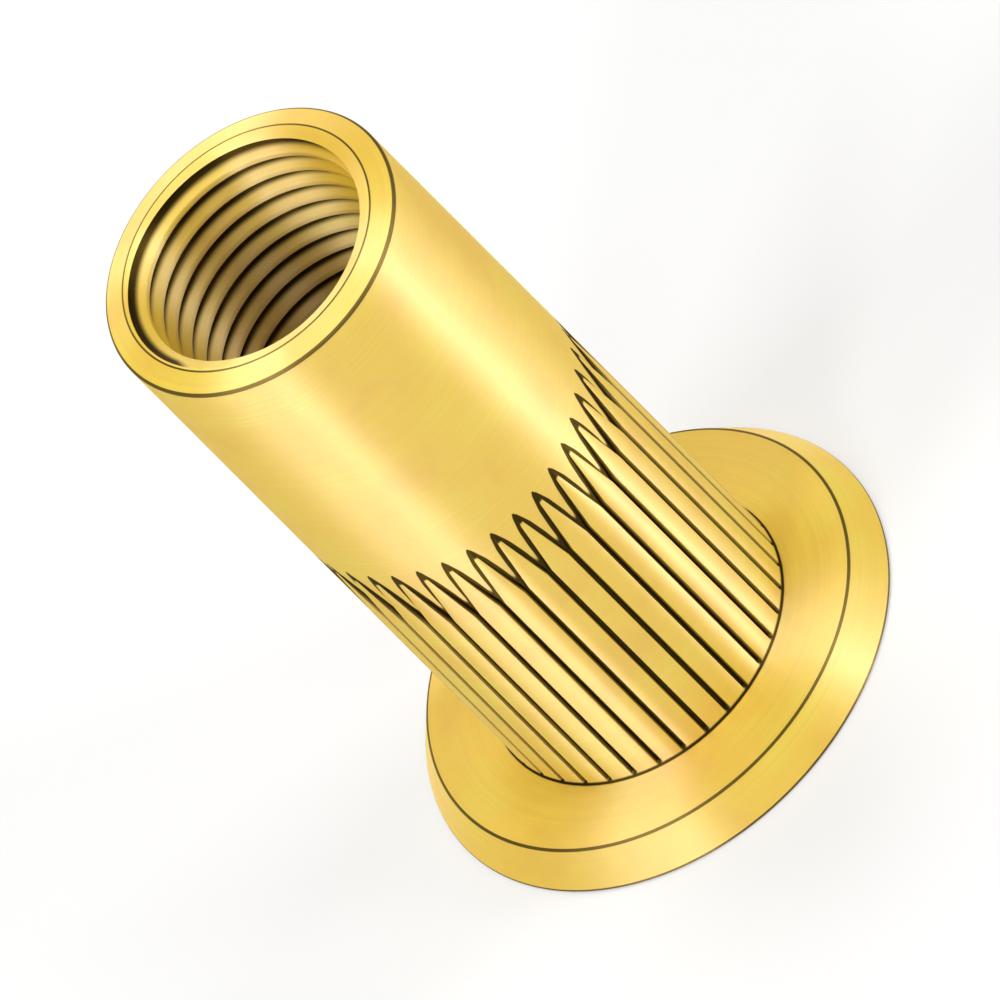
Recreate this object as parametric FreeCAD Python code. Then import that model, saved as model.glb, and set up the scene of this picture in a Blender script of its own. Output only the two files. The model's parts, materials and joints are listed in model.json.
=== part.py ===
# Open-end rivet nut with a ribbed round shank, a large flange and a fine internal thread.
# Millimetres. It stands on its flange: z = 0 is the flange's outer face and the axis is +Z.
import FreeCAD, Part
import math
import os
from FreeCAD import Vector

# Thread, metric form, in the far end of the nut. The solid holds its minor bore.
THREAD_DIAMETER = 10.0
THREAD_PITCH = 1.0
THREAD_LENGTH = 13.0

# Mouth of the thread at the open end
MOUTH_DIAMETER = 10.2
MOUTH_CONE_ANGLE = 120.0

# Shank, from the flange's bearing face to the highest circle of the open end
SHANK_DIAMETER = 12.0
SHANK_LENGTH = 27.3
END_FALL = 0.27
END_EDGE_BREAK = 0.10

# Flange, narrower on its bearing side
FLANGE_DIAMETER = 19.2
BEARING_DIAMETER = 17.5
FLANGE_THICKNESS = 1.5
FLANGE_EDGE_BREAK = 0.12

# Wide bore between the thread and the flange, whose thin wall folds when the nut is set
COLLAPSE_BORE_DIAMETER = 10.4
COLLAPSE_BORE_CONE_ANGLE = 90.0
COLLAPSE_BORE_CHAMFER = 0.3

# Ribs, flush with the shank, with pointed ends towards the open end
RIB_COUNT = 36
RIB_LENGTH = 14.3
RIB_POINT_LENGTH = 3.2
RIB_POINT_WIDTH = 0.06
VALLEY_DEPTH = 0.22
VALLEY_WIDTH = 0.24
VALLEY_FLOOR_WIDTH = 0.06

# How far a cutting shape stands out of the metal that it cuts
OVERRUN = 0.02

minor_radius = THREAD_DIAMETER / 2 - 5 / 8 * math.sqrt(3) / 2 * THREAD_PITCH
mouth_radius = MOUTH_DIAMETER / 2
shank_radius = SHANK_DIAMETER / 2
flange_radius = FLANGE_DIAMETER / 2
bearing_radius = BEARING_DIAMETER / 2
bore_radius = COLLAPSE_BORE_DIAMETER / 2

open_end = FLANGE_THICKNESS + SHANK_LENGTH
thread_end = open_end - THREAD_LENGTH
rib_points = FLANGE_THICKNESS + RIB_LENGTH
rib_shoulders = rib_points - RIB_POINT_LENGTH

origin = Vector(0, 0, 0)
nut_axis = Vector(0, 0, 1)


def turned(outline):
    """Solid turned from a closed outline of (radius, height) points."""
    corners = [Vector(radius, 0, height) for radius, height in outline]
    section = Part.Face(Part.makePolygon(corners + corners[:1]))
    return section.revolve(origin, nut_axis, 360)


def cone_depth(wide_radius, narrow_radius, cone_angle):
    """Height of a cone of this full angle between two radii."""
    return (wide_radius - narrow_radius) / math.tan(math.radians(cone_angle / 2))


def flanged_tube():
    """The nut without its ribs: flange, plain shank, mouth, thread bore and wide bore."""
    mouth = cone_depth(mouth_radius, minor_radius, MOUTH_CONE_ANGLE)
    taper = cone_depth(bore_radius, minor_radius, COLLAPSE_BORE_CONE_ANGLE)
    end_slope = END_FALL / (shank_radius - mouth_radius)
    rim = open_end - END_FALL
    return turned([
        (bore_radius + COLLAPSE_BORE_CHAMFER, 0),
        (flange_radius - FLANGE_EDGE_BREAK, 0),
        (flange_radius, FLANGE_EDGE_BREAK),
        (bearing_radius, FLANGE_THICKNESS),
        (shank_radius, FLANGE_THICKNESS),
        (shank_radius, rim - END_EDGE_BREAK),
        (shank_radius - END_EDGE_BREAK, rim + END_EDGE_BREAK * end_slope),
        (mouth_radius, open_end),
        (minor_radius, open_end - mouth),
        (minor_radius, thread_end),
        (bore_radius, thread_end - taper),
        (bore_radius, COLLAPSE_BORE_CHAMFER),
    ])


def valley():
    """What one valley takes out of the shank at angle zero.

    Between the ribs it is a V with a narrow floor. Beside the ribs' pointed ends its flanks
    part in straight lines, and its floor climbs to the shank's surface.
    """
    floor_radius = shank_radius - VALLEY_DEPTH
    climb = VALLEY_DEPTH / RIB_POINT_LENGTH
    top = rib_points + RIB_POINT_LENGTH / 4
    flank = (VALLEY_WIDTH - VALLEY_FLOOR_WIDTH) / 2 / VALLEY_DEPTH
    rib_pitch = math.pi * SHANK_DIAMETER / RIB_COUNT
    fan = (rib_pitch - RIB_POINT_WIDTH - VALLEY_WIDTH) / 2

    def plan(radius):
        """Closed plan of the valley on the plane x = radius."""
        half = VALLEY_FLOOR_WIDTH / 2 + (radius - floor_radius) * flank
        one_side = [
            Vector(radius, half, FLANGE_THICKNESS),
            Vector(radius, half, rib_shoulders),
            Vector(radius, half + fan, rib_points),
            Vector(radius, half + fan, top),
        ]
        other_side = [Vector(radius, -point.y, point.z) for point in reversed(one_side)]
        return one_side + other_side

    inner = plan(floor_radius - OVERRUN)
    outer = plan(shank_radius + OVERRUN)
    faces = [Part.Face(Part.makePolygon(side + side[:1])) for side in (inner, outer)]
    for place in range(len(inner)):
        after = (place + 1) % len(inner)
        ring = [inner[place], inner[after], outer[after], outer[place], inner[place]]
        faces.append(Part.Face(Part.makePolygon(ring)))
    flanks = Part.Solid(Part.Shell(faces))

    above_floor = turned([
        (floor_radius, FLANGE_THICKNESS),
        (floor_radius, rib_shoulders),
        (shank_radius + climb * (top - rib_points), top),
        (shank_radius + 1, top),
        (shank_radius + 1, FLANGE_THICKNESS),
    ])
    seam_away = above_floor.rotated(origin, nut_axis, 180)
    return flanks.common(seam_away)


def rivet_nut():
    """The whole nut, one piece of metal."""
    first = valley()
    step = 360 / RIB_COUNT
    valleys = [first.rotated(origin, nut_axis, step * (place + 0.5)) for place in range(RIB_COUNT)]
    return flanged_tube().cut(valleys).removeSplitter().Solids[0]


os.makedirs("parts", exist_ok=True)
nut = rivet_nut()
nut.exportStep("parts/rivet_nut.step")
print("rivet nut of %.0f cubic millimetres" % nut.Volume)
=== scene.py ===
import bmesh
import bpy
import json
import math
import numpy as np
from mathutils import Matrix, Vector


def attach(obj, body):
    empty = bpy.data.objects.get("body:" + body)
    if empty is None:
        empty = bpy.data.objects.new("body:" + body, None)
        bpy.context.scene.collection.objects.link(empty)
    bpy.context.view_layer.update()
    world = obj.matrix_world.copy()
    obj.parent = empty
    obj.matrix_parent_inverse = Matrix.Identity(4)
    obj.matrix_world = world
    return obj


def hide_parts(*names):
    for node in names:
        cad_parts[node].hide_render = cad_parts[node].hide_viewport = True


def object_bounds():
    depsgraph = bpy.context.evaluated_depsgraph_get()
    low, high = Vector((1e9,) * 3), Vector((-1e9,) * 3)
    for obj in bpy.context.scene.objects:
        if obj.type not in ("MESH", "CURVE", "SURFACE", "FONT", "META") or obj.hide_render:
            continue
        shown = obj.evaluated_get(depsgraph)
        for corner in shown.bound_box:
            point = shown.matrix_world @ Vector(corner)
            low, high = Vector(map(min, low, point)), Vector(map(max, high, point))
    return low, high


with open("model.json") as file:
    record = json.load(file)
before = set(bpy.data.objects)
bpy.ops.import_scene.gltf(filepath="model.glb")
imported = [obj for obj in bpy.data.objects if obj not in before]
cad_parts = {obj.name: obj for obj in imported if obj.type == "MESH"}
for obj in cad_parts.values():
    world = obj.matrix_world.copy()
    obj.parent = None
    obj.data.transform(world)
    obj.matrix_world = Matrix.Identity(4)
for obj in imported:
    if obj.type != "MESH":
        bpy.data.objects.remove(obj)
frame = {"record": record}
cad_low, cad_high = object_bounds()


# Rivet nut
# One piece of mild steel: its flange and ribs are cold formed, its bore is turned, and its far
# end is tapped with a fine thread. It is zinc plated and yellow passivated all over. Its sizes
# are in millimetres, and its skin is made of rings of points round the axis.
MM = 0.001
mounts = {mount["name"]: mount for mount in frame["record"]["mounts"]}
SHANK_RADIUS = mounts["shank"]["dims"]["r_mm"]
CREST_RADIUS = mounts["thread"]["dims"]["r_mm"]
BORE_RADIUS = mounts["collapse_bore"]["dims"]["r_mm"]
BEARING_HEIGHT = mounts["bearing_face"]["pos_m"][2] / MM
FLANGE_RADIUS = cad_high.x / MM
OPEN_END = cad_high.z / MM

# Lines of points along the nut, the same number for each rib all the way from end to end
RIB_COUNT = 36
LINES_PER_RIB = 12
lines_round = RIB_COUNT * LINES_PER_RIB
rib_angle = 2 * math.pi / RIB_COUNT
rib_pitch = 2 * math.pi * SHANK_RADIUS / RIB_COUNT
even_lines = np.arange(LINES_PER_RIB) * rib_pitch / LINES_PER_RIB


def ring(lines, radii, height, film=0.0):
    """One closed ring of (x, y, height, brown) points round the nut, the last one on the first.

    The lines are the places of one rib's lines, measured along the shank's surface from the
    middle of a valley. The last value of a point is how much dark brown lies on it, from 0 to 1:
    painted shade in the valleys, round the rib points, at the shank's foot and in the thread's
    root, and a brown film on the edges.
    """
    valleys = (np.arange(RIB_COUNT) + 0.5) * rib_angle
    angles = (valleys[:, None] + lines[None, :] / SHANK_RADIUS).ravel()
    angles = np.append(angles, angles[0] + 2 * math.pi)
    radii = np.tile(np.broadcast_to(radii, lines.shape), RIB_COUNT)
    radii = np.append(radii, radii[0])
    film = np.tile(np.broadcast_to(film, lines.shape), RIB_COUNT)
    film = np.append(film, film[0])
    heights = np.broadcast_to(height, angles.shape)
    return np.stack([radii * np.cos(angles), radii * np.sin(angles), heights, film], axis=1)


# Edges of the flange, the open end and the mouth, each with a small radius. The plating builds
# up on them, so the film is browner there.
EDGE_FILM = 0.85
EDGE_FILM_WIDTH = 0.12
EDGE_FILM_FADE = 0.02


def rounded(outline, steps, film=0.0):
    """Points of an outline of (radius, height, rounding) corners, with an arc at each rounded one.

    A point is (radius, height, film). The film lies on the arcs and fades out beside them.
    """
    points = []
    for place, (radius, height, rounding) in enumerate(outline):
        if not rounding:
            points.append((radius, height, 0.0))
            continue
        corner = Vector((radius, height))
        back = (Vector(outline[place - 1][:2]) - corner).normalized()
        ahead = (Vector(outline[place + 1][:2]) - corner).normalized()
        half = back.angle(ahead) / 2
        centre = corner + (back + ahead).normalized() * rounding / math.sin(half)
        spoke = corner + back * rounding / math.tan(half) - centre
        turn = math.copysign(math.pi - 2 * half, back.cross(ahead))
        arc = [centre + Matrix.Rotation(-turn * step / steps, 2) @ spoke for step in range(steps + 1)]
        if film:
            reach = max(EDGE_FILM_WIDTH - rounding * abs(turn), 0) / 2
            arc = [arc[0] + back * reach] + arc + [arc[-1] + ahead * reach]
            points.append((*(arc[0] + back * EDGE_FILM_FADE), 0.0))
        points += [(*spot, film) for spot in arc]
        if film:
            points.append((*(arc[-1] + ahead * EDGE_FILM_FADE), 0.0))
    return points


# Flange, cold formed, narrower on its bearing face than on its outer face
BEARING_RADIUS = 8.75
BEARING_EDGE_ROUND = 0.12
FLANGE_EDGE_BREAK = 0.12
FLANGE_ARC_STEPS = 6
BORE_CHAMFER = 0.3

# How far from an edge the next ring lies, so that the face beside the edge stays flat
EDGE_GAP = 0.1


def flange_rings():
    """Rings from the bore's chamfer over the outer face, the edge and the bearing face."""
    slope = (BEARING_RADIUS - FLANGE_RADIUS) / (BEARING_HEIGHT - FLANGE_EDGE_BREAK)
    corner_radius = FLANGE_RADIUS - slope * FLANGE_EDGE_BREAK
    half_turn = (math.pi / 2 - math.atan(slope)) / 2
    edge_round = (corner_radius - FLANGE_RADIUS) / (math.tan(half_turn) - 1)
    outline = rounded([
        (BORE_RADIUS + BORE_CHAMFER, 0, 0),
        (BORE_RADIUS + BORE_CHAMFER + EDGE_GAP, 0, 0),
        (FLANGE_RADIUS - 3 * EDGE_GAP, 0, 0),
        (corner_radius, 0, edge_round),
        (BEARING_RADIUS, BEARING_HEIGHT, BEARING_EDGE_ROUND),
        (BEARING_RADIUS - 2 * EDGE_GAP, BEARING_HEIGHT, 0),
        (SHANK_RADIUS + FOOT_BLEND_START, BEARING_HEIGHT, 0),
    ], FLANGE_ARC_STEPS, EDGE_FILM)
    return [ring(even_lines, radius, height, film) for radius, height, film in outline]


# Ribs, cold formed flush with the shank, with a V valley between each two. Their pointed ends
# bite into the sheet as the nut is pressed in.
RIB_LENGTH = 14.3
RIB_POINT_LENGTH = 3.2
RIB_POINT_WIDTH = 0.06
RIB_EDGE_ROUND = 0.02
VALLEY_DEPTH = 0.22
VALLEY_WIDTH = 0.24
VALLEY_FLOOR_WIDTH = 0.06
POINT_STEPS = 16
MIDDLE_RINGS = [5.0, 9.0]
rib_points = BEARING_HEIGHT + RIB_LENGTH
rib_shoulders = rib_points - RIB_POINT_LENGTH

# Painted shade in the valleys, in dark brown. It covers a narrow floor, and lies along both sides of
# a wide one.
VALLEY_SHADE_WIDTH = 0.15
VALLEY_SHADE_ON_FLANK = 0.055
VALLEY_SHADE_FADE = 0.04
POINT_SHADE_WIDTH = 0.07
POINT_SHADE_GROWTH = 0.3
SHADED_FLOOR = 0.12
UNSHADED_FLOOR = 0.2
SHADED_POINT = 0.13
UNSHADED_POINT = 0.19
# How much less painted shade the top of each flank gets, so that its dark line stays narrow.
FLANK_TOP_SHADE_CUT = 0.34


def share(value, none, full):
    """0 at the value for none, 1 at the value for full, and in proportion between them."""
    return min(max((value - none) / (full - none), 0), 1)


def ribbed_section(height):
    """Places, radii and painted shade of one rib's lines at a height.

    Straight is 1 where the valley is straight, and 0 at the points, where it ends. The lines
    lie in the middle of the valley, where its painted shade ends and begins, at the foot and top
    of its flank, on the rib's shoulder and on the middle of the rib, and the other side mirrors them.
    """
    straight = share(height, rib_points, rib_shoulders)
    parted = (1 - straight) * (rib_pitch - RIB_POINT_WIDTH - VALLEY_WIDTH) / 2
    depth = VALLEY_DEPTH * straight
    flank = (VALLEY_WIDTH - VALLEY_FLOOR_WIDTH) / 2 * straight
    top = VALLEY_WIDTH / 2 + parted
    foot = top - flank
    rounding = min(RIB_EDGE_ROUND, (rib_pitch / 2 - top) / 3)
    along_floor = VALLEY_SHADE_WIDTH - VALLEY_SHADE_ON_FLANK * straight
    along_point = POINT_SHADE_WIDTH + POINT_SHADE_GROWTH * straight
    shade_start = max(foot / 2, foot - min(along_floor, along_point))
    shade_end = max(foot / 4, shade_start - VALLEY_SHADE_FADE)
    lines = [0, shade_end, shade_start, foot, top, top + rounding]
    depths = [depth, depth, depth, depth, min(rounding, depth) / 3, 0]
    # Painted shade: a narrow valley floor whole, a strip along the feet of the flanks, and the rib's
    # middle near its point, where the valleys close up.
    on_floor = share(foot, UNSHADED_FLOOR, SHADED_FLOOR)
    on_point = share(straight, UNSHADED_POINT, SHADED_POINT)
    film = [on_floor, on_floor, 1, 1, 1 - FLANK_TOP_SHADE_CUT * straight, on_point]
    lines = lines + [rib_pitch / 2] + [rib_pitch - line for line in lines[:0:-1]]
    depths = depths + [0] + depths[:0:-1]
    film = film + [on_point] + film[:0:-1]
    return np.array(lines), SHANK_RADIUS - np.array(depths), np.array(film)


# Foot of the shank: a small fillet on the bearing face, with painted shade in its corner
FOOT_ROUND = 0.12
FOOT_SHADE = [0.3, 1, 1, 0.6]
FOOT_SHADE_FADE = 0.02
FOOT_BLEND_START = 1.2
FOOT_BLEND_MIDDLE = 0.4

# Past the points, the painted shade and then the lines close up from the ribs to the plain shank
POINT_TAIL = 0.15
POINT_TAIL_WIDTH = 0.35
POINT_BLEND_LENGTH = 1.5
POINT_BLEND_STEPS = 6


def rib_rings():
    """Rings from the foot of the shank up the ribs and past their points."""
    foot_height = BEARING_HEIGHT + FOOT_ROUND
    foot_lines, _, foot_shade = ribbed_section(foot_height)
    rings = [ring((even_lines + foot_lines) / 2, SHANK_RADIUS + FOOT_BLEND_MIDDLE, BEARING_HEIGHT)]
    for step, on_foot in enumerate(FOOT_SHADE):
        turn = step / (len(FOOT_SHADE) - 1) * math.pi / 2
        radius = SHANK_RADIUS + FOOT_ROUND * (1 - math.sin(turn))
        height = BEARING_HEIGHT + FOOT_ROUND * (1 - math.cos(turn))
        film = np.maximum(foot_shade, on_foot) if step else on_foot
        rings.append(ring(foot_lines, radius, height, film))

    heights = [foot_height + FOOT_SHADE_FADE, foot_height + EDGE_GAP]
    heights += MIDDLE_RINGS
    heights += [rib_shoulders - EDGE_GAP]
    heights += list(np.linspace(rib_shoulders, rib_points, POINT_STEPS + 1))
    for height in heights:
        lines, radii, film = ribbed_section(height)
        rings.append(ring(lines, radii, height, film))

    rib_middle = rib_pitch / 2
    tails = np.where(lines > 0, rib_middle + (lines - rib_middle) * POINT_TAIL_WIDTH, 0)
    rings.append(ring(tails, SHANK_RADIUS, rib_points + POINT_TAIL, film))
    for step in range(1, POINT_BLEND_STEPS + 1):
        blend = step / POINT_BLEND_STEPS
        height = rib_points + POINT_BLEND_LENGTH * blend
        rings.append(ring(tails + (even_lines - tails) * blend, SHANK_RADIUS, height))
    return rings


# Open end, turned: a gently coned face with a rounded edge, and the countersunk mouth
END_FALL = 0.27
END_EDGE_ROUND = 0.13
END_ARC_STEPS = 5
PLAIN_SHANK_RINGS = [20.0, 24.0]
MOUTH_RADIUS = 5.1
MOUTH_EDGE_ROUND = 0.04
MOUTH_HALF_ANGLE = math.radians(60)


def open_end_outline():
    """Points from the plain shank over the end face to where the mouth's cone begins.

    The last corner only gives the cone its direction. It is dropped, with the two points that
    the film adds after the mouth's edge, because the thread's rings go on from that edge.
    """
    slope = END_FALL / (SHANK_RADIUS - MOUTH_RADIUS)
    rim = OPEN_END - END_FALL
    return rounded([
        (SHANK_RADIUS, PLAIN_SHANK_RINGS[0], 0),
        (SHANK_RADIUS, PLAIN_SHANK_RINGS[1], 0),
        (SHANK_RADIUS, rim - 3 * EDGE_GAP, 0),
        (SHANK_RADIUS, rim, END_EDGE_ROUND),
        (SHANK_RADIUS - 2 * EDGE_GAP, rim + 2 * EDGE_GAP * slope, 0),
        (MOUTH_RADIUS + EDGE_GAP, OPEN_END - EDGE_GAP * slope, 0),
        (MOUTH_RADIUS, OPEN_END, MOUTH_EDGE_ROUND),
        (MOUTH_RADIUS - math.sin(MOUTH_HALF_ANGLE), OPEN_END - math.cos(MOUTH_HALF_ANGLE), 0),
    ], END_ARC_STEPS, EDGE_FILM)[:-3]


# Metric thread, tapped from the open end, right-handed, and the wide bore below it whose thin
# wall folds when the nut is set. Painted shade lies in the thread's root.
THREAD_PITCH = 1.0
THREAD_LENGTH = 13.0
THREAD_START = 0.06
THREAD_FLANK_ANGLE = math.radians(30)
ROOT_RADIUS = 5.0
ROOT_EDGE_ROUND = 0.06
CREST_EDGE_ROUND = 0.05
THREAD_ARC_STEPS = 1
ROOT_SHADE = 1.35
ROOT_SHADE_FADE = 0.08
TAPER_HALF_ANGLE = math.radians(45)
BORE_RING = 8.0


def bore_rings(mouth_radius, mouth_height):
    """Rings from the mouth down the helical thread, the taper and the wide bore."""
    taper_top = OPEN_END - THREAD_LENGTH
    taper_bottom = taper_top - (BORE_RADIUS - CREST_RADIUS) / math.tan(TAPER_HALF_ANGLE)
    flank = (ROOT_RADIUS - CREST_RADIUS) * math.tan(THREAD_FLANK_ANGLE)
    crest_end = THREAD_PITCH / 4
    one_turn = rounded([
        (ROOT_RADIUS, -flank, 0),
        (CREST_RADIUS, 0, CREST_EDGE_ROUND),
        (CREST_RADIUS, crest_end, CREST_EDGE_ROUND),
        (ROOT_RADIUS, crest_end + flank, ROOT_EDGE_ROUND),
        (ROOT_RADIUS, THREAD_PITCH - flank, ROOT_EDGE_ROUND),
        (CREST_RADIUS, THREAD_PITCH, 0),
    ], THREAD_ARC_STEPS)[1:-1]
    turns = math.ceil((mouth_height - taper_bottom) / THREAD_PITCH) + 2
    drops = np.array([turn * THREAD_PITCH + point[1] for turn in range(turns) for point in one_turn])
    thread = np.array([point[0] for point in one_turn] * turns)[:, None]
    lift = np.linspace(0, THREAD_PITCH, lines_round + 1)[None, :]
    heights = mouth_height + THREAD_START - drops[:, None] + lift

    def cone(level):
        """Radius of the two cones, which meet the thread at its ends."""
        mouth = mouth_radius - (mouth_height - level) * math.tan(MOUTH_HALF_ANGLE)
        taper = CREST_RADIUS + (taper_top - level) * math.tan(TAPER_HALF_ANGLE)
        return np.maximum(mouth, taper)

    # Where the thread's outline comes out of a cone, its last point inside moves to the crossing
    over = thread - cone(heights)
    for row in range(len(drops) - 1):
        upper, lower = over[row], over[row + 1]
        crossed = upper * lower < 0
        way = np.where(crossed, upper / np.where(crossed, upper - lower, 1), 0)
        meeting = heights[row] + way * (heights[row + 1] - heights[row])
        heights[row] = np.where(crossed & (upper < 0), meeting, heights[row])
        heights[row + 1] = np.where(crossed & (lower < 0), meeting, heights[row + 1])
    heights = np.minimum.accumulate(np.clip(heights, taper_bottom, mouth_height), axis=0)
    radii = np.maximum(thread, cone(heights))
    # Painted shade in the thread's root, faded out where the thread meets the cones.
    root_shade = ROOT_SHADE * (thread - CREST_RADIUS) / (ROOT_RADIUS - CREST_RADIUS)
    root_shades = root_shade * np.clip((thread - cone(heights)) / ROOT_SHADE_FADE, 0, 1)
    angles = rib_angle / 2 + np.linspace(0, 2 * math.pi, lines_round + 1)
    rings = [
        np.stack([radius * np.cos(angles), radius * np.sin(angles), height, film], axis=1)
        for radius, height, film in zip(radii, heights, root_shades)
    ]
    rings.append(ring(even_lines, BORE_RADIUS, BORE_RING))
    rings.append(ring(even_lines, BORE_RADIUS, BORE_CHAMFER))
    rings.append(ring(even_lines, BORE_RADIUS + BORE_CHAMFER, 0))
    return rings


# Skin of the whole nut, which joins the rings into one closed mesh
MERGE_DISTANCE = 0.0003 * MM
SHARP_ANGLE = math.radians(34)


def nut_mesh():
    """The nut's whole skin as one closed mesh, with its painted shade and brown film marked."""
    end_outline = open_end_outline()
    mouth_radius, mouth_height, _ = end_outline.pop()
    rings = flange_rings() + rib_rings()
    rings += [ring(even_lines, radius, height, film) for radius, height, film in end_outline]
    rings += bore_rings(mouth_radius, mouth_height)
    across = lines_round + 1
    skin = bmesh.new()
    mark = skin.verts.layers.float.new("film")
    for x, y, height, film in np.concatenate(rings):
        corner = skin.verts.new((x * MM, y * MM, height * MM))
        corner[mark] = film
    skin.verts.ensure_lookup_table()
    for row in range(len(rings) - 1):
        for line in range(lines_round):
            first = row * across + line
            places = (first, first + 1, first + 1 + across, first + across)
            skin.faces.new([skin.verts[place] for place in places])
    bmesh.ops.remove_doubles(skin, verts=skin.verts, dist=MERGE_DISTANCE)
    for face in skin.faces:
        face.smooth = True
    mesh = bpy.data.meshes.new("rivet_nut_skin")
    skin.to_mesh(mesh)
    skin.free()
    mesh.set_sharp_from_angle(angle=SHARP_ANGLE)
    return mesh


# Finish: satin zinc under a yellow passivated film, gold with faint clouds of amber and lemon,
# fine turning lines round the axis, and dark brown where the skin is marked: painted shade in the
# recesses, and a brown film on the edges
ZINC_GOLD = (0.84, 0.565, 0.012, 1)
ZINC_AMBER = (0.80, 0.48, 0.010, 1)
ZINC_LEMON = (0.83, 0.63, 0.020, 1)
SHADE_AND_FILM_BROWN = (0.045, 0.026, 0.010, 1)
SHADE_AND_FILM_STRENGTH = 0.94
SHADE_AND_FILM_START = 0.45
CLOUD_SIZE = 3.0 * MM
AMBER_IN_CLOUDS = 0.7
LEMON_IN_CLOUDS = 0.8
TURNING_LINE_SIZE = 0.14 * MM
TURNING_LINE_DEPTH = 0.005 * MM
AMBER_IN_TURNING_LINES = 0.5
TURNING_LINE_ROUGHNESS = 0.04
GRAIN_SIZE = 0.06 * MM
GRAIN_ROUGHNESS = 0.03
ZINC_ROUGHNESS = 0.6
ZINC_METALLIC = 0.2
ZINC_IOR = 3.2
SHEEN_STRETCH = 0.95
SHEEN_TURN = 0.25


def yellow_zinc():
    """Material of the nut, whose noise patterns are as large as the real ones."""
    material = bpy.data.materials.new("yellow_zinc")
    material.use_nodes = True
    nodes = material.node_tree.nodes
    links = material.node_tree.links
    shader = nodes["Principled BSDF"]
    shader.inputs["IOR"].default_value = ZINC_IOR
    shader.inputs["Anisotropic"].default_value = SHEEN_STRETCH
    shader.inputs["Anisotropic Rotation"].default_value = SHEEN_TURN
    tangent = nodes.new("ShaderNodeTangent")
    tangent.direction_type = "RADIAL"
    tangent.axis = "Z"
    links.new(tangent.outputs["Tangent"], shader.inputs["Tangent"])
    place = nodes.new("ShaderNodeTexCoord").outputs["Object"]

    def noise(where, size, detail):
        """Clouds of noise of this size, mostly between 0.3 and 0.7."""
        texture = nodes.new("ShaderNodeTexNoise")
        texture.inputs["Scale"].default_value = 1 / size
        texture.inputs["Detail"].default_value = detail
        links.new(where, texture.inputs["Vector"])
        return texture.outputs["Fac"]

    def ranged(value, low, high, new_low, new_high):
        """A value eased from one range into another."""
        step = nodes.new("ShaderNodeMapRange")
        step.interpolation_type = "SMOOTHSTEP"
        step.inputs["From Min"].default_value = low
        step.inputs["From Max"].default_value = high
        step.inputs["To Min"].default_value = new_low
        step.inputs["To Max"].default_value = new_high
        links.new(value, step.inputs["Value"])
        return step.outputs["Result"]

    def blended(amount, one, other):
        """One colour with an amount of the other in it."""
        mix = nodes.new("ShaderNodeMix")
        mix.data_type = "RGBA"
        links.new(amount, mix.inputs["Factor"])
        for socket, colour in ((mix.inputs["A"], one), (mix.inputs["B"], other)):
            if isinstance(colour, tuple):
                socket.default_value = colour
            else:
                links.new(colour, socket)
        return mix.outputs["Result"]

    # Turning lines are noise that changes with the distance from the axis and the height alone
    flat = nodes.new("ShaderNodeVectorMath")
    flat.operation = "MULTIPLY"
    flat.inputs[1].default_value = (1, 1, 0)
    links.new(place, flat.inputs[0])
    radius = nodes.new("ShaderNodeVectorMath")
    radius.operation = "LENGTH"
    links.new(flat.outputs["Vector"], radius.inputs[0])
    parts = nodes.new("ShaderNodeSeparateXYZ")
    links.new(place, parts.inputs["Vector"])
    round_axis = nodes.new("ShaderNodeCombineXYZ")
    links.new(radius.outputs["Value"], round_axis.inputs["X"])
    links.new(parts.outputs["Z"], round_axis.inputs["Z"])
    turning = noise(round_axis.outputs["Vector"], TURNING_LINE_SIZE, detail=3)

    clouds = noise(place, CLOUD_SIZE, detail=3)
    gold = blended(ranged(clouds, 0.35, 0.5, AMBER_IN_CLOUDS, 0), ZINC_GOLD, ZINC_AMBER)
    gold = blended(ranged(clouds, 0.52, 0.68, 0, LEMON_IN_CLOUDS), gold, ZINC_LEMON)
    gold = blended(ranged(turning, 0.35, 0.65, AMBER_IN_TURNING_LINES, 0), gold, ZINC_AMBER)
    # Marked places go dark brown and fully metallic, so their reflections darken too: painted shade
    # in the valleys, round the rib points, at the foot and in the thread's root, and a brown film on
    # the edges.
    marked = nodes.new("ShaderNodeAttribute")
    marked.attribute_name = "film"
    film = ranged(marked.outputs["Fac"], SHADE_AND_FILM_START, 1, 0, SHADE_AND_FILM_STRENGTH)
    links.new(blended(film, gold, SHADE_AND_FILM_BROWN), shader.inputs["Base Color"])
    metal = ranged(marked.outputs["Fac"], SHADE_AND_FILM_START, 1, ZINC_METALLIC, 1)
    links.new(metal, shader.inputs["Metallic"])

    grain = noise(place, GRAIN_SIZE, detail=2)
    smooth = ZINC_ROUGHNESS - TURNING_LINE_ROUGHNESS
    coarse = ZINC_ROUGHNESS + TURNING_LINE_ROUGHNESS
    rough = nodes.new("ShaderNodeMath")
    rough.operation = "ADD"
    links.new(ranged(grain, 0.3, 0.7, -GRAIN_ROUGHNESS, GRAIN_ROUGHNESS), rough.inputs[0])
    links.new(ranged(turning, 0.3, 0.7, smooth, coarse), rough.inputs[1])
    links.new(rough.outputs["Value"], shader.inputs["Roughness"])

    bump = nodes.new("ShaderNodeBump")
    bump.inputs["Strength"].default_value = 1
    bump.inputs["Distance"].default_value = TURNING_LINE_DEPTH
    links.new(turning, bump.inputs["Height"])
    links.new(bump.outputs["Normal"], shader.inputs["Normal"])
    return material


rivet_nut = bpy.data.objects.new("rivet_nut_skin", nut_mesh())
bpy.context.scene.collection.objects.link(rivet_nut)
rivet_nut.data.materials.append(yellow_zinc())
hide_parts("rivet_nut")
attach(rivet_nut, "root")


# Floor
# A wide sheet of white card, on which the nut stands. What sees it, by eye or by reflection,
# gets a share of plain white mixed in, and the rest is lit as card and keeps the nut's shadow.
FLOOR_REACH = 1.0
FLOOR_COLOUR = (0.70, 0.70, 0.70, 1)
FLOOR_WHITE_SHARE = 0.35

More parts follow.
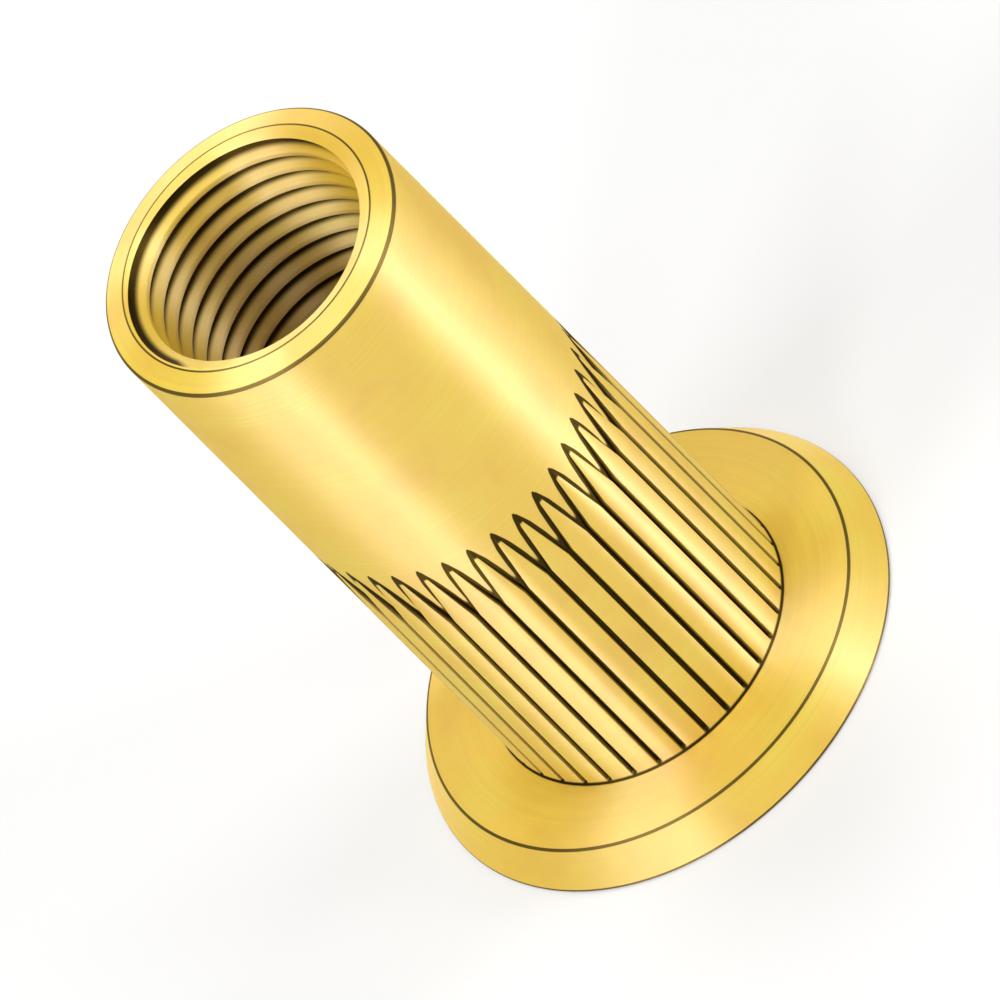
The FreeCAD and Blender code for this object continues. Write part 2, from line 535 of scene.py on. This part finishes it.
floor_mesh = bpy.data.meshes.new("floor")
floor_mesh.from_pydata(
    [(x * FLOOR_REACH, y * FLOOR_REACH, 0) for x, y in ((-1, -1), (1, -1), (1, 1), (-1, 1))],
    [],
    [(0, 1, 2, 3)],
)
floor = bpy.data.objects.new("floor", floor_mesh)
bpy.context.scene.collection.objects.link(floor)
white_card = bpy.data.materials.new("white_card")
white_card.use_nodes = True
card_nodes = white_card.node_tree.nodes
card_links = white_card.node_tree.links
card = card_nodes["Principled BSDF"]
card.inputs["Base Color"].default_value = FLOOR_COLOUR
card.inputs["Roughness"].default_value = 1
rays = card_nodes.new("ShaderNodeLightPath").outputs
seen = rays["Is Camera Ray"]
for kind in ("Is Glossy Ray", "Is Transmission Ray"):
    either = card_nodes.new("ShaderNodeMath")
    either.operation = "ADD"
    card_links.new(seen, either.inputs[0])
    card_links.new(rays[kind], either.inputs[1])
    seen = either.outputs["Value"]
white_share = card_nodes.new("ShaderNodeMath")
white_share.operation = "MULTIPLY"
white_share.use_clamp = True
white_share.inputs[1].default_value = FLOOR_WHITE_SHARE
card_links.new(seen, white_share.inputs[0])
white = card_nodes.new("ShaderNodeEmission")
white.inputs["Strength"].default_value = 1
blend = card_nodes.new("ShaderNodeMixShader")
card_links.new(white_share.outputs["Value"], blend.inputs["Fac"])
card_links.new(card.outputs["BSDF"], blend.inputs[1])
card_links.new(white.outputs["Emission"], blend.inputs[2])
card_links.new(blend.outputs["Shader"], card_nodes["Material Output"].inputs["Surface"])
floor.data.materials.append(white_card)


# Light
# Soft white lamps on all sides of the nut, in a dim white room. The two strips in front make
# the long highlights on the shank, and the weaker lamps round them keep the gold between even.
WORLD_STRENGTH = 0.2
LAMP_AIM = Vector((0, 0, 12 * MM))

world = bpy.data.worlds.new("room")
bpy.context.scene.world = world
world.use_nodes = True
background = world.node_tree.nodes["Background"]
background.inputs["Color"].default_value = (1, 1, 1, 1)
background.inputs["Strength"].default_value = WORLD_STRENGTH


def softbox(name, turn, rise, away, width, height, bright):
    """A lamp that faces the nut, turned from the camera's side and raised by these degrees.

    Its power goes with its area, so that lamps of the same brightness look equally bright.
    """
    lamp = bpy.data.lights.new(name, "AREA")
    lamp.shape = "RECTANGLE"
    lamp.size = width
    lamp.size_y = height
    lamp.energy = bright * math.pi * width * height
    holder = bpy.data.objects.new(name, lamp)
    bpy.context.scene.collection.objects.link(holder)
    level = math.cos(math.radians(rise))
    across = math.sin(math.radians(turn)) * level
    towards = -math.cos(math.radians(turn)) * level
    outwards = Vector((across, towards, math.sin(math.radians(rise))))
    holder.location = LAMP_AIM + outwards * away
    holder.rotation_euler = outwards.to_track_quat("Z", "Y").to_euler()


softbox("left_strip", turn=-42, rise=26, away=0.3, width=0.05, height=0.1, bright=19)
softbox("right_strip", turn=53, rise=12, away=0.3, width=0.055, height=0.1, bright=22)
softbox("left_softbox", turn=-78, rise=50, away=0.4, width=0.12, height=0.12, bright=14)
softbox("right_softbox", turn=88, rise=50, away=0.4, width=0.12, height=0.12, bright=11)
softbox("left_fill", turn=-45, rise=42, away=0.35, width=0.12, height=0.12, bright=1)
softbox("right_fill", turn=45, rise=42, away=0.35, width=0.12, height=0.12, bright=1.5)
softbox("front_softbox", turn=0, rise=62, away=0.4, width=0.12, height=0.12, bright=3.5)
softbox("rear_softbox", turn=180, rise=68, away=0.4, width=0.14, height=0.14, bright=10)
softbox("rear_left_strip", turn=-155, rise=15, away=0.3, width=0.08, height=0.1, bright=4)
softbox("rear_right_strip", turn=155, rise=15, away=0.3, width=0.08, height=0.1, bright=4)


# Camera
# It looks down on the nut and is rolled, so that the nut lies across the picture from its open
# end at the top left to its flange at the bottom right. It has no perspective.
CAMERA_RISE = math.radians(43.75)
CAMERA_ROLL = math.radians(45)
CAMERA_AIM = Vector((0.045 * MM, 0, 11.15 * MM))
CAMERA_DISTANCE = 0.2
PICTURE_WIDTH = 35.608 * MM

camera = bpy.data.objects.new("camera", bpy.data.cameras.new("camera"))
bpy.context.scene.collection.objects.link(camera)
bpy.context.scene.camera = camera
camera.data.type = "ORTHO"
camera.data.ortho_scale = PICTURE_WIDTH
camera.data.clip_start = 0.001
camera.data.clip_end = 10
backwards = Vector((0, -math.cos(CAMERA_RISE), math.sin(CAMERA_RISE)))
camera.location = CAMERA_AIM + backwards * CAMERA_DISTANCE
level = (-backwards).to_track_quat("-Z", "Y").to_matrix()
camera.rotation_euler = (level @ Matrix.Rotation(-CAMERA_ROLL, 3, "Z")).to_euler()

bpy.context.scene.view_settings.view_transform = "Standard"
